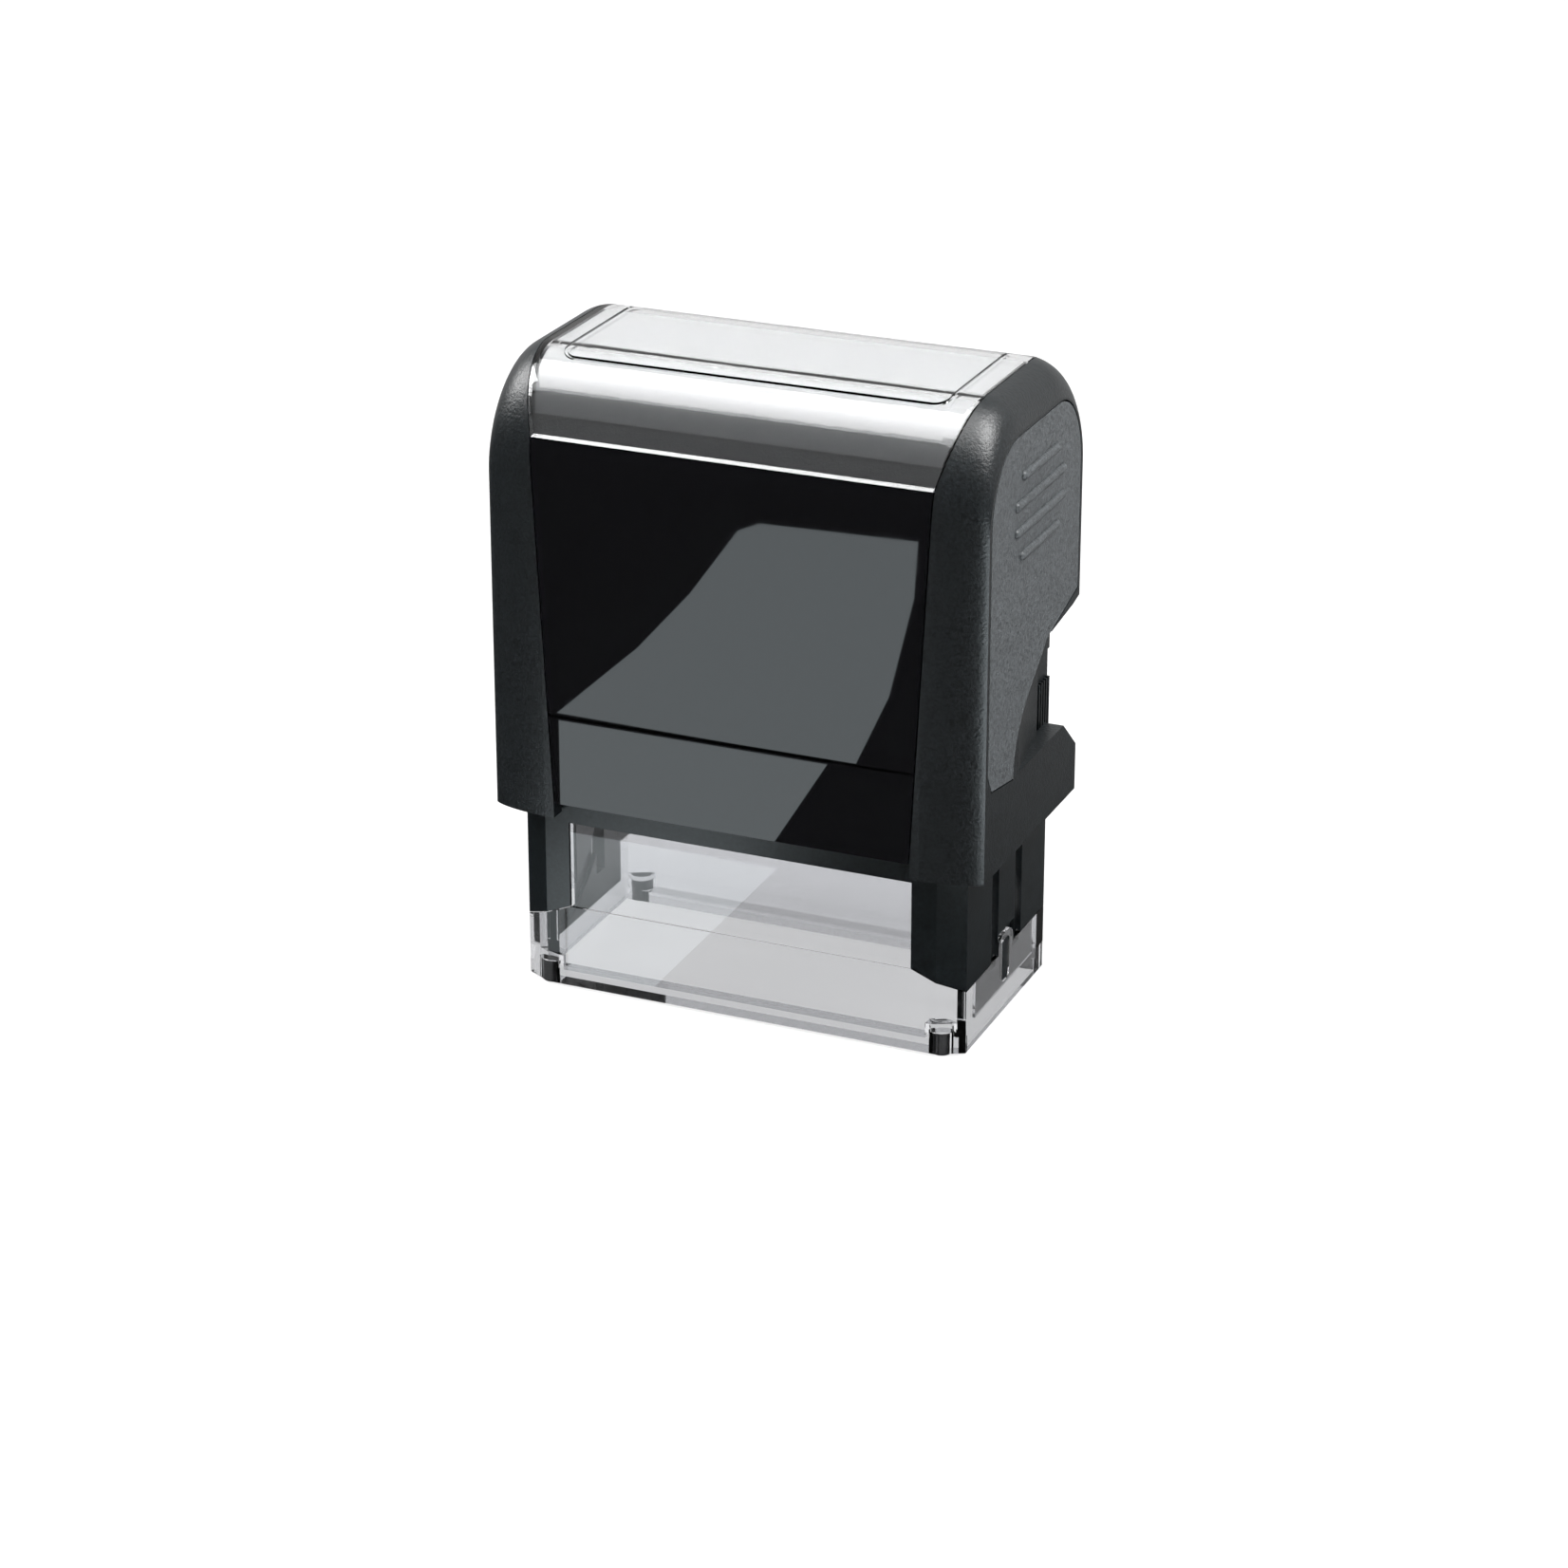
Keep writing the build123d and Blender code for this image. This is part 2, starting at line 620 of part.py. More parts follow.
    # seats and studs for the foot's latch loops
    for sign in (-1, 1):
        with BuildSketch(Plane.YZ.offset(sign * frame_x)):
            Rectangle(2 * slot_offset - slot_width - 2 * fit_gap, 2 * latch_seat_top)
        extrude(amount=-sign * (skirt + latch_gap), mode=Mode.SUBTRACT)
        with BuildSketch(Plane.YZ.offset(sign * (frame_x - skirt - latch_gap - fit_gap))):
            with Locations((0, latch_z)):
                RectangleRounded(stud_width, stud_height, stud_corner)
        extrude(amount=sign * (skirt + fit_gap))
finish_part(frame, "frame")

# ---------------------------------------------------------------- clear foot
with BuildPart() as clear_foot:
    with BuildSketch(Plane.XY.offset(foot_lift)):
        add(plan_outline(frame_x, frame_y, frame_corner_x, frame_corner_y))
    extrude(amount=leg_bottom + leg_rise)
    with BuildSketch():
        add(plan_outline(inner_x, inner_y + latch_gap, inner_corner_x, inner_corner_y))
    extrude(amount=far, mode=Mode.SUBTRACT)
    # follows the slanted undersides of the frame's legs
    with BuildSketch(Plane.XZ):
        with BuildLine():
            foot_top = leg_bottom - latch_gap
            Polyline((-far, 0), (far, 0), (far, foot_top), (frame_x, foot_top),
                     (opening_x, foot_top + leg_rise), (-opening_x, foot_top + leg_rise),
                     (-frame_x, foot_top), (-far, foot_top), close=True)
        make_face()
    extrude(amount=far / 2, both=True, mode=Mode.INTERSECT)
    # room for the frame's side walls
    with BuildSketch(Plane.YZ):
        with Locations((0, side_foot - latch_gap + far / 2)):
            Rectangle(2 * (side_foot_y + latch_gap), far)
    extrude(amount=frame_x - skirt, both=True, mode=Mode.SUBTRACT)
    # panes in the front and rear cut-outs
    with BuildSketch(Plane.XY.offset(foot_lift)):
        for sign in (-1, 1):
            with Locations((0, sign * (frame_y - pane_inset - pane_thickness / 2))):
                Rectangle(2 * (opening_x - latch_gap), pane_thickness)
    extrude(amount=window_sill - latch_gap - foot_lift)
    # flange along the bottom, and a block in each corner for the rubber feet
    with BuildSketch(Plane.XY.offset(foot_lift)):
        for sign in (-1, 1):
            with Locations((0, sign * (frame_y - pane_inset - foot_flange / 2))):
                Rectangle(2 * inner_x, foot_flange - 2 * pane_inset)
    extrude(amount=foot_flange_height)
    with BuildSketch(Plane.XY.offset(foot_lift)):
        with GridLocations(2 * rubber_x, 2 * rubber_y, 2, 2):
            Circle(rubber_radius + rubber_block_wall)
    extrude(amount=rubber_height + rubber_block_top)
    with BuildSketch():
        add(plan_outline(frame_x, frame_y, frame_corner_x, frame_corner_y))
    extrude(amount=far, mode=Mode.INTERSECT)
    with BuildSketch():
        with GridLocations(2 * rubber_x, 2 * rubber_y, 2, 2):
            Circle(rubber_radius + fit_gap)
    extrude(amount=rubber_height + fit_gap, mode=Mode.SUBTRACT)
    # latch loops that snap over the studs on the frame
    for sign in (-1, 1):
        with BuildSketch(Plane.YZ.offset(sign * (frame_x - skirt))):
            with Locations((0, latch_z - loop_drop)):
                RectangleRounded(loop_width, loop_height, loop_corner)
        extrude(amount=sign * skirt)
        with BuildSketch(Plane.YZ.offset(sign * (frame_x - skirt))):
            with Locations((0, latch_z)):
                RectangleRounded(stud_width + 2 * latch_gap, stud_height + 2 * latch_gap,
                                 stud_corner + latch_gap)
        extrude(amount=sign * frame_wall, mode=Mode.SUBTRACT)
finish_part(clear_foot, "clear_foot")

# ---------------------------------------------------------------- rubber feet
foot_corners = {"front_left": (-1, -1), "front_right": (1, -1), "rear_left": (-1, 1), "rear_right": (1, 1)}
for corner, (sign_x, sign_y) in foot_corners.items():
    with BuildPart() as rubber_foot:
        with BuildSketch():
            with Locations((sign_x * rubber_x, sign_y * rubber_y)):
                Circle(rubber_radius)
        extrude(amount=rubber_height)
        chamfer(edges().group_by(Axis.Z)[0], rubber_chamfer)
    finish_part(rubber_foot, f"rubber_foot_{corner}")

# ---------------------------------------------------------------- die
with BuildPart() as die_carrier:
    with BuildSketch(Plane.XY.offset(axle_z - carrier_half_height)):
        RectangleRounded(2 * carrier_x, 2 * carrier_y, carrier_corner)
    extrude(amount=2 * carrier_half_height)
    # hollow underside with cross ribs
    pocket_pitch = 2 * (carrier_x - pocket_edge_x) / pocket_count
    with BuildSketch(Plane.XY.offset(axle_z - carrier_half_height)):
        with GridLocations(pocket_pitch, 0, pocket_count, 1):
            Rectangle(pocket_pitch - pocket_rib, 2 * (carrier_y - pocket_edge_y))
    extrude(amount=pocket_depth, mode=Mode.SUBTRACT)
    # trunnions in the yoke and cam pins in the frame's grooves
    for side in (-1, 1):
        with BuildSketch(Plane.YZ.offset(side * carrier_x)):
            with Locations((0, axle_z)):
                Circle(axle_radius)
        extrude(amount=side * (arm_outer - carrier_x - pin_end_gap))
        with BuildSketch(Plane.YZ.offset(side * carrier_x)):
            with Locations((cam_radius, axle_z)):
                Circle(cam_pin_radius)
        extrude(amount=side * (inner_x + cam_groove_depth - pin_end_gap - carrier_x))
finish_part(die_carrier, "die_carrier")

foam_top = axle_z + carrier_half_height + foam_thickness
rubber_thickness = axle_z + axle_to_face - foam_top
relief = relief_share * rubber_thickness
with BuildPart() as foam_layer:
    with BuildSketch(Plane.XY.offset(foam_top - foam_thickness)):
        RectangleRounded(2 * die_x, 2 * die_y, die_corner)
    extrude(amount=foam_thickness)
finish_part(foam_layer, "foam_layer")

with BuildPart() as rubber_die:
    with BuildSketch(Plane.XY.offset(foam_top)):
        RectangleRounded(2 * die_x, 2 * die_y, die_corner)
    extrude(amount=rubber_thickness - relief)
    # raised border and bars of relief
    border_x = die_x - border_inset
    border_y = die_y - border_inset
    bar_pitch = 2 * (die_y - bar_inset_y) / bar_count
    with BuildSketch(Plane.XY.offset(foam_top + rubber_thickness - relief)):
        RectangleRounded(2 * border_x, 2 * border_y, die_corner)
        RectangleRounded(2 * (border_x - border_width), 2 * (border_y - border_width), border_corner,
                         mode=Mode.SUBTRACT)
        with GridLocations(0, bar_pitch, 1, bar_count):
            Rectangle(2 * (die_x - bar_inset_x), bar_pitch / 2)
    extrude(amount=relief)
finish_part(rubber_die, "rubber_die")

# ---------------------------------------------------------------- ink cassette
pad_x = die_x + pad_margin_x
pad_y = die_y + pad_margin_y
with BuildPart() as cassette_tray:
    with BuildSketch(Plane.XY.offset(pad_z)):
        with Locations((0, (tray_depth_rear - tray_depth_front) / 2)):
            Rectangle(2 * carrier_x, tray_depth_rear + tray_depth_front)
    extrude(amount=tray_height)
    # ears that show in the cap's side notches
    with BuildSketch(Plane.XY.offset(pad_z - ear_drop)):
        for sign in (-1, 1):
            with Locations((sign * (carrier_x + ear_width / 2), (ear_front + tray_depth_rear) / 2)):
                Rectangle(ear_width, tray_depth_rear - ear_front)
    extrude(amount=tray_height + ear_drop)
    # upright ribs for the fingers
    rib_pitch = (tray_depth_rear - ear_front) / ear_rib_count
    with BuildSketch(Plane.XY.offset(pad_z - ear_drop)):
        for sign in (-1, 1):
            for rib in range(ear_rib_count):
                with Locations((sign * (carrier_x + ear_width), ear_front + (rib + 0.5) * rib_pitch)):
                    Rectangle(2 * ear_rib_depth, rib_pitch * ear_rib_share)
    extrude(amount=ear_rib_height)
    # well for the pad, and a relieved top
    with BuildSketch(Plane.XY.offset(pad_z)):
        Rectangle(2 * pad_x, 2 * pad_y)
    extrude(amount=pad_thickness, mode=Mode.SUBTRACT)
    with BuildSketch(Plane.XY.offset(tray_top - tray_relief_depth)):
        with GridLocations(pad_x, 0, 2, 1):
            Rectangle(pad_x - tray_relief_rib, 2 * pad_y)
    extrude(amount=tray_relief_depth, mode=Mode.SUBTRACT)
finish_part(cassette_tray, "cassette_tray")

with BuildPart() as ink_pad:
    with BuildSketch(Plane.XY.offset(pad_z)):
        Rectangle(2 * (pad_x - pad_fit), 2 * (pad_y - pad_fit))
    extrude(amount=pad_thickness)
finish_part(ink_pad, "ink_pad")

# ---------------------------------------------------------------- return spring
spring_height = bridge_bottom - roof_top
coil_pitch = (spring_height - spring_wire - 2 * spring_end_gap) / spring_turns
with BuildPart() as return_spring:
    with BuildLine() as coil:
        Helix(pitch=coil_pitch, height=coil_pitch * spring_turns, radius=spring_radius,
              center=(0, 0, roof_top + spring_wire / 2 + spring_end_gap))
    with BuildSketch(Plane(origin=coil.line @ 0, z_dir=coil.line % 0)):
        Circle(spring_wire / 2)
    sweep(path=coil.line, is_frenet=True)
finish_part(return_spring, "return_spring")
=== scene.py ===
"""Self inking stamp: finishes, fine pieces and stage, laid out as an add-on and run as a script."""

import math

import bmesh
import bpy
from bpy.props import FloatProperty, FloatVectorProperty, IntProperty, PointerProperty
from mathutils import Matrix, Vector


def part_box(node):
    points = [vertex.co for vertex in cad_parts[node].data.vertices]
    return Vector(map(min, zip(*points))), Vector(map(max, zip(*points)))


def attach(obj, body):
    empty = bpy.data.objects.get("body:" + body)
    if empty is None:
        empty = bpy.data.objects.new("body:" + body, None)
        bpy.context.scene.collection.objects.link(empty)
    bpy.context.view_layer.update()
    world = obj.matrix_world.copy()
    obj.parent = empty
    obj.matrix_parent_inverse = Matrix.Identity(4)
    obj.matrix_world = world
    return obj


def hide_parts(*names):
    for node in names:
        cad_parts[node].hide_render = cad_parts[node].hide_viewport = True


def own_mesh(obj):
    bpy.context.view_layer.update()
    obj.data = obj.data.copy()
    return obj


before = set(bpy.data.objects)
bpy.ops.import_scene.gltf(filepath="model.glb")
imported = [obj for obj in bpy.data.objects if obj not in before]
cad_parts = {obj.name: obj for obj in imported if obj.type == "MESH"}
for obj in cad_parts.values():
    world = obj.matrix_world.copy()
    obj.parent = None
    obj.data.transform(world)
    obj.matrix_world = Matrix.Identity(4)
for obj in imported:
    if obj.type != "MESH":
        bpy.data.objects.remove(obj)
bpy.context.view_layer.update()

bl_info = {
    "name": "Self inking stamp",
    "version": (1, 0, 0),
    "blender": (4, 5, 0),
    "location": "View3D > Sidebar > Stamp",
    "description": "Finishes a self inking stamp: moulded plastics, clear window and foot, spring and studio",
    "category": "Object",
}

MM = 0.001
WHITE = (1.0, 1.0, 1.0, 1.0)

# moulded edges
ROUND_ANGLE = math.radians(32.0)
ROUND_SEGMENTS = 2
GRIP_ROUND_SHARE = 0.5
PANEL_ROUND_SHARE = 0.35

# meshes
RIB_SIDES = 16
RIB_END_STEPS = 5
WIRE_SIDES = 12
WIRE_STEPS_PER_TURN = 48
CLOSED_RISE = 1.02  # wire diameters that a closed turn rises

# noise in the materials
NOISE_MEAN = 0.5
WAVE_SHARE = 0.35

# floor and backdrop, metres
FLOOR_REACH = 1.0
FLOOR_CURVE = 0.5
BACKDROP_HEIGHT = 2.0
FLOOR_CURVE_STEPS = 12
FLOOR_TURN_STEPS = 64
MERGE_DISTANCE = 1e-5
MIRROR_FRONT_Y = -0.02
MIRROR_REAR_Y = 0.30

# camera
SENSOR_WIDTH = 36.0
CLIP_NEAR = 0.01
CLIP_FAR = 20.0

# lamps: name, power in StampStage, size and place in metres
LAMP_AIM = (0.0, 0.0, 0.04)
LAMPS = (
    ("Left", "left_power", (0.30, 0.30), (-0.50, -0.10, 0.45)),
    ("Side", "side_power", (0.25, 0.30), (0.38, 0.02, 0.48)),
    ("Top", "top_power", (0.90, 0.50), (0.0, -0.10, 0.70)),
)

# glowing cards on the floor, painted reflections on the stamp's faces: name, node whose front face
# mirrors the card, strength, and the outline of its mirror image on that face, in mm across and up
GLOW_TINT = (0.90, 1.0, 1.04, 1.0)
CARD_HEIGHT = 1.0 * MM
PAINTED_REFLECTION_CARDS = (
    ("panel_card", "front_panel", 1.55,
     ((-19.8, 33.2), (14.3, 32.8), (18.0, 41.0), (20.6, 52.0), (21.0, 58.2), (3.6, 57.7), (1.2, 56.6),
      (-4.2, 49.0), (-10.3, 42.0))),
    ("lower_card", "front_panel", 1.65, ((-19.6, 19.0), (3.0, 19.0), (11.2, 32.4), (-19.6, 32.4))),
    ("leg_card", "frame", 1.7, ((-28.0, 4.0), (-20.5, 4.0), (-20.5, 18.5), (-28.0, 18.5))),
    ("pane_card", "frame", 2.6, ((-20.2, 2.0), (-9.9, 2.0), (4.4, 18.4), (-20.2, 18.4))),
)
# the glowing card that paints highlights on the right-hand edges: its own outline on the floor, in mm
EDGE_HIGHLIGHT_STRENGTH = 6.0
EDGE_HIGHLIGHT_OUTLINE = ((60, -60), (200, -160), (260, -60), (80, -10))


# ------------------------------------------------------------------ sizes and colours
def colour(name, description, default):
    """A colour property."""
    return FloatVectorProperty(name=name, description=description, default=default, size=3, subtype="COLOR",
                               min=0.0, max=1.0)


def length(name, description, default):
    """A length property; its default is in millimetres."""
    return FloatProperty(name=name, description=description, default=default * MM, unit="LENGTH")


class StampFinish(bpy.types.PropertyGroup):
    """Colours and surface sizes of the stamp"""

    cap_colour: colour("Cap", "Satin plastic of the cap's shell", (0.0062, 0.0080, 0.0090))
    grip_colour: colour("Grips", "Matte plastic of the side grips", (0.046, 0.051, 0.054))
    gloss_colour: colour("Gloss panels", "Piano black of the front and rear panels", (0.0025, 0.0025, 0.003))
    frame_colour: colour("Frame", "Satin plastic of the frame, yoke and cassette", (0.0040, 0.0060, 0.0070))
    carrier_colour: colour("Die carrier", "Plastic of the turning die carrier", (0.13, 0.14, 0.15))
    card_colour: colour("Index card", "Card under the window", (0.58, 0.585, 0.585))
    # painted shade: the colour the index card darkens to where it bends down over the front and rear
    card_shade_colour: colour("Index card's flaps", "Card where it bends down", (0.05, 0.052, 0.055))
    window_tint: colour("Clear window", "Tint of the window", (0.90, 0.905, 0.91))
    foot_tint: colour("Clear foot", "Tint of the foot", (0.68, 0.685, 0.70))
    rubber_colour: colour("Rubber feet", "Rubber of the four feet", (0.012, 0.012, 0.013))
    die_colour: colour("Rubber die", "Rubber of the die, faintly inked", (0.22, 0.035, 0.03))
    foam_colour: colour("Foam", "Foam between die and carrier", (0.30, 0.31, 0.32))
    ink_colour: colour("Ink pad", "Felt of the pad, full of ink", (0.30, 0.012, 0.020))
    steel_colour: colour("Spring steel", "Wire of the return spring", (0.62, 0.62, 0.63))
    edge_round: length("Edge round", "Radius on the moulded edges", 0.22)
    clear_edge_round: length("Clear edge round", "Radius on the clear pieces' edges", 0.10)
    grain_size: length("Grain size", "Spacing of the moulded grain", 0.32)


class StampRibs(bpy.types.PropertyGroup):
    """Sizes of the rounded ribs on the side grips"""

    width: length("Width", "Width of a rib", 1.10)
    height: length("Height", "Height over the grip", 0.42)
    drop: length("Drop", "From the cap's top to the first rib", 8.8)
    pitch: length("Pitch", "From rib to rib", 2.87)
    middle: length("Middle", "Middle of the ribs, behind the stamp's middle", 0.7)
    lengths: FloatVectorProperty(name="Lengths", description="Straight length of each rib, from the top",
                                 default=(10.0 * MM, 13.6 * MM, 13.6 * MM, 10.4 * MM), size=4)


class StampSpring(bpy.types.PropertyGroup):
    """Sizes of the return spring"""

    wire: length("Wire", "Wire diameter", 1.0)
    turns: IntProperty(name="Turns", description="Working turns", default=6, min=2)
    closed_turns: FloatProperty(name="Closed turns", description="Closed turns at each end", default=0.9,
                                min=0.0)


class StampStage(bpy.types.PropertyGroup):
    """Camera, lamps and floor"""

    azimuth: FloatProperty(name="Azimuth", description="Camera turn about the stamp",
                           default=math.radians(23.17), unit="ROTATION")
    elevation: FloatProperty(name="Elevation", description="Camera height angle", default=math.radians(20.96),
                             unit="ROTATION")
    distance: FloatProperty(name="Distance", description="Camera to aim point", default=0.4561, unit="LENGTH")
    aim_height: FloatProperty(name="Aim height", description="Height of the aim point", default=0.040,
                              unit="LENGTH")
    lens: FloatProperty(name="Lens", description="Focal length in millimetres", default=98.23)
    shift_x: FloatProperty(name="Shift X", description="Lens shift across", default=-0.0019)
    shift_y: FloatProperty(name="Shift Y", description="Lens shift up", default=-0.0978)
    floor_colour: colour("Floor", "Pale floor and backdrop", (0.86, 0.86, 0.865))
    floor_glow: FloatProperty(name="Floor glow", description="Share of plain white in what the camera sees",
                              default=0.80, min=0.0, max=1.0)
    # painted reflection: the tones the floor glows with in reflections, dark in front and lighter behind
    mirror_dark: FloatProperty(name="Mirrored front", description="The floor's tone in reflections, in front",
                               default=0.02, min=0.0)
    mirror_light: FloatProperty(name="Mirrored rear", description="The floor's tone in reflections, behind",
                                default=0.60, min=0.0)
    world_strength: FloatProperty(name="World", description="Strength of the even light", default=0.30,
                                  min=0.0)
    left_power: FloatProperty(name="Left", description="Power of the lamp above on the left", default=4.5,
                              unit="POWER")
    side_power: FloatProperty(name="Side", description="Power of the lamp above on the right", default=4.5,
                              unit="POWER")
    top_power: FloatProperty(name="Top", description="Power of the overhead lamp", default=7.5, unit="POWER")


# ------------------------------------------------------------------ shader groups
def new_group(name, inputs, outputs):
    """A shader group with its named sockets, and its two end nodes."""
    group = bpy.data.node_groups.new(name, "ShaderNodeTree")
    for label, kind, value in inputs:
        socket = group.interface.new_socket(name=label, in_out="INPUT", socket_type=kind)
        socket.default_value = value
    for label, kind in outputs:
        group.interface.new_socket(name=label, in_out="OUTPUT", socket_type=kind)
    return group, group.nodes.new("NodeGroupInput"), group.nodes.new("NodeGroupOutput")


def add_node(tree, kind, inputs=None, **settings):
    """A node with its settings and its input values or links."""
    node = tree.nodes.new(kind)
    for key, value in settings.items():
        setattr(node, key, value)
    for key, value in (inputs or {}).items():
        if isinstance(value, bpy.types.NodeSocket):
            tree.links.new(value, node.inputs[key])
        else:
            node.inputs[key].default_value = value
    return node


def math_node(tree, operation, *values, clamp=False):
    """The result of a sum with values or links."""
    node = add_node(tree, "ShaderNodeMath", dict(enumerate(values)), operation=operation, use_clamp=clamp)
    return node.outputs[0]


def moulded_grain_group():
    """Fine spark-eroded grain with slow waviness, as on moulded plastic."""
    name = "Moulded grain"
    if name in bpy.data.node_groups:
        return bpy.data.node_groups[name]
    group, source, result = new_group(
        name,
        [("Scale", "NodeSocketFloat", 6000.0), ("Roughness", "NodeSocketFloat", 0.4),
         ("Spread", "NodeSocketFloat", 0.08), ("Colour", "NodeSocketColor", (0.02, 0.02, 0.02, 1.0))],
        [("Height", "NodeSocketFloat"), ("Roughness", "NodeSocketFloat"), ("Colour", "NodeSocketColor")],
    )
    place = add_node(group, "ShaderNodeTexCoord").outputs["Object"]
    grain = add_node(group, "ShaderNodeTexNoise",
                     {"Vector": place, "Scale": source.outputs["Scale"], "Detail": 3.0, "Roughness": 0.6})
    wave = add_node(group, "ShaderNodeTexNoise", {"Vector": place, "Scale": 60.0, "Detail": 2.0})
    rub = add_node(group, "ShaderNodeTexNoise",
                   {"Vector": place, "Scale": 350.0, "Detail": 4.0, "Distortion": 0.6})
    slow = math_node(group, "MULTIPLY", wave.outputs["Fac"], WAVE_SHARE)
    height = math_node(group, "ADD", grain.outputs["Fac"], slow)
    centred = math_node(group, "SUBTRACT", rub.outputs["Fac"], NOISE_MEAN)
    rough = math_node(group, "MULTIPLY_ADD", centred, source.outputs["Spread"], source.outputs["Roughness"])
    lift = add_node(group, "ShaderNodeMapRange",
                    {"Value": grain.outputs["Fac"], "From Min": 0.3, "From Max": 0.7,
                     "To Min": 0.45, "To Max": 1.60})
    tone = add_node(group, "ShaderNodeVectorMath", {0: source.outputs["Colour"]}, operation="SCALE")
    group.links.new(lift.outputs["Result"], tone.inputs["Scale"])
    group.links.new(height, result.inputs["Height"])
    group.links.new(rough, result.inputs["Roughness"])
    group.links.new(tone.outputs[0], result.inputs["Colour"])
    return group


def handling_group():
    """Faint smears and specks that handling leaves on glossy and clear plastic."""
    name = "Handling marks"
    if name in bpy.data.node_groups:
        return bpy.data.node_groups[name]
    group, source, result = new_group(
        name,
        [("Roughness", "NodeSocketFloat", 0.05), ("Smear", "NodeSocketFloat", 0.03)],
        [("Roughness", "NodeSocketFloat"), ("Height", "NodeSocketFloat")],
    )
    place = add_node(group, "ShaderNodeTexCoord").outputs["Object"]
    smear = add_node(group, "ShaderNodeTexNoise",
                     {"Vector": place, "Scale": 90.0, "Detail": 5.0, "Distortion": 1.4})
    patch = add_node(group, "ShaderNodeMapRange",
                     {"Value": smear.outputs["Fac"], "From Min": 0.48, "From Max": 0.75})
    rough = math_node(group, "MULTIPLY_ADD", patch.outputs["Result"], source.outputs["Smear"],
                      source.outputs["Roughness"])
    sink = add_node(group, "ShaderNodeTexNoise", {"Vector": place, "Scale": 45.0, "Detail": 1.0})
    group.links.new(rough, result.inputs["Roughness"])
    group.links.new(sink.outputs["Fac"], result.inputs["Height"])
    return group


def fibre_group():
    """Short matted fibres or cells, for card, felt and foam."""
    name = "Fibre"
    if name in bpy.data.node_groups:
        return bpy.data.node_groups[name]
    group, source, result = new_group(
        name,
        [("Scale", "NodeSocketFloat", 2500.0), ("Depth", "NodeSocketFloat", 0.2),
         ("Colour", "NodeSocketColor", (0.5, 0.5, 0.5, 1.0))],
        [("Height", "NodeSocketFloat"), ("Colour", "NodeSocketColor")],
    )
    place = add_node(group, "ShaderNodeTexCoord").outputs["Object"]
    cells = add_node(group, "ShaderNodeTexVoronoi", {"Vector": place, "Scale": source.outputs["Scale"]})
    cloud = add_node(group, "ShaderNodeTexNoise",
                     {"Vector": place, "Scale": 900.0, "Detail": 4.0, "Distortion": 0.8})
    mixed = math_node(group, "ADD", cells.outputs["Distance"], cloud.outputs["Fac"])
    deep = math_node(group, "MULTIPLY", mixed, source.outputs["Depth"])
    lift = math_node(group, "SUBTRACT", 1.0, deep)
    level = math_node(group, "ADD", lift, source.outputs["Depth"])
    tone = add_node(group, "ShaderNodeVectorMath", {0: source.outputs["Colour"]}, operation="SCALE")
    group.links.new(level, tone.inputs["Scale"])
    group.links.new(mixed, result.inputs["Height"])
    group.links.new(tone.outputs[0], result.inputs["Colour"])
    return group


# ------------------------------------------------------------------ materials
def blank_material(name):
    """A new material with its shader, and its tree."""
    material = bpy.data.materials.new(name)
    material.use_nodes = True
    tree = material.node_tree
    return material, tree, tree.nodes["Principled BSDF"]


def place_group(tree, group, **values):
    """A shader group placed in a material with its own values."""
    node = tree.nodes.new("ShaderNodeGroup")
    node.node_tree = group
    for label, value in values.items():
        node.inputs[label].default_value = value
    return node


def bump(tree, height, shader, strength, distance):
    """Links a height to the shader's normal."""
    node = add_node(tree, "ShaderNodeBump", {"Strength": strength, "Distance": distance, "Height": height})
    tree.links.new(node.outputs["Normal"], shader.inputs["Normal"])


def satin_plastic(name, tint, roughness, grain_size, relief=0.35):
    """Moulded plastic or rubber with a fine grain."""
    material, tree, shader = blank_material(name)
    grain = place_group(tree, moulded_grain_group(), Scale=1.0 / grain_size, Roughness=roughness, Spread=0.08,
                        Colour=(*tint, 1.0))
    tree.links.new(grain.outputs["Colour"], shader.inputs["Base Color"])
    tree.links.new(grain.outputs["Roughness"], shader.inputs["Roughness"])
    bump(tree, grain.outputs["Height"], shader, strength=relief, distance=0.05 * MM)
    return material


def gloss_plastic(name, tint):
    """Polished plastic with faint handling marks."""
    material, tree, shader = blank_material(name)
    marks = place_group(tree, handling_group(), Roughness=0.012, Smear=0.02)
    shader.inputs["Base Color"].default_value = (*tint, 1.0)
    shader.inputs["Coat Weight"].default_value = 0.6
    shader.inputs["Coat Roughness"].default_value = 0.02
    tree.links.new(marks.outputs["Roughness"], shader.inputs["Roughness"])
    bump(tree, marks.outputs["Height"], shader, strength=0.12, distance=0.05 * MM)
    return material


def clear_plastic(name, tint):
    """Clear styrene or acrylic with faint handling marks."""
    material, tree, shader = blank_material(name)
    marks = place_group(tree, handling_group(), Roughness=0.02, Smear=0.05)
    shader.inputs["Base Color"].default_value = (*tint, 1.0)
    shader.inputs["Transmission Weight"].default_value = 1.0
    shader.inputs["IOR"].default_value = 1.49
    tree.links.new(marks.outputs["Roughness"], shader.inputs["Roughness"])
    bump(tree, marks.outputs["Height"], shader, strength=0.15, distance=0.08 * MM)
    return material


def fibre_material(name, tint, scale, depth, roughness, relief, sheen=0.0):
    """Felt or foam."""
    material, tree, shader = blank_material(name)
    fibre = place_group(tree, fibre_group(), Scale=scale, Depth=depth, Colour=(*tint, 1.0))
    tree.links.new(fibre.outputs["Colour"], shader.inputs["Base Color"])
    shader.inputs["Roughness"].default_value = roughness
    shader.inputs["Sheen Weight"].default_value = sheen
    bump(tree, fibre.outputs["Height"], shader, strength=relief, distance=0.05 * MM)
    return material


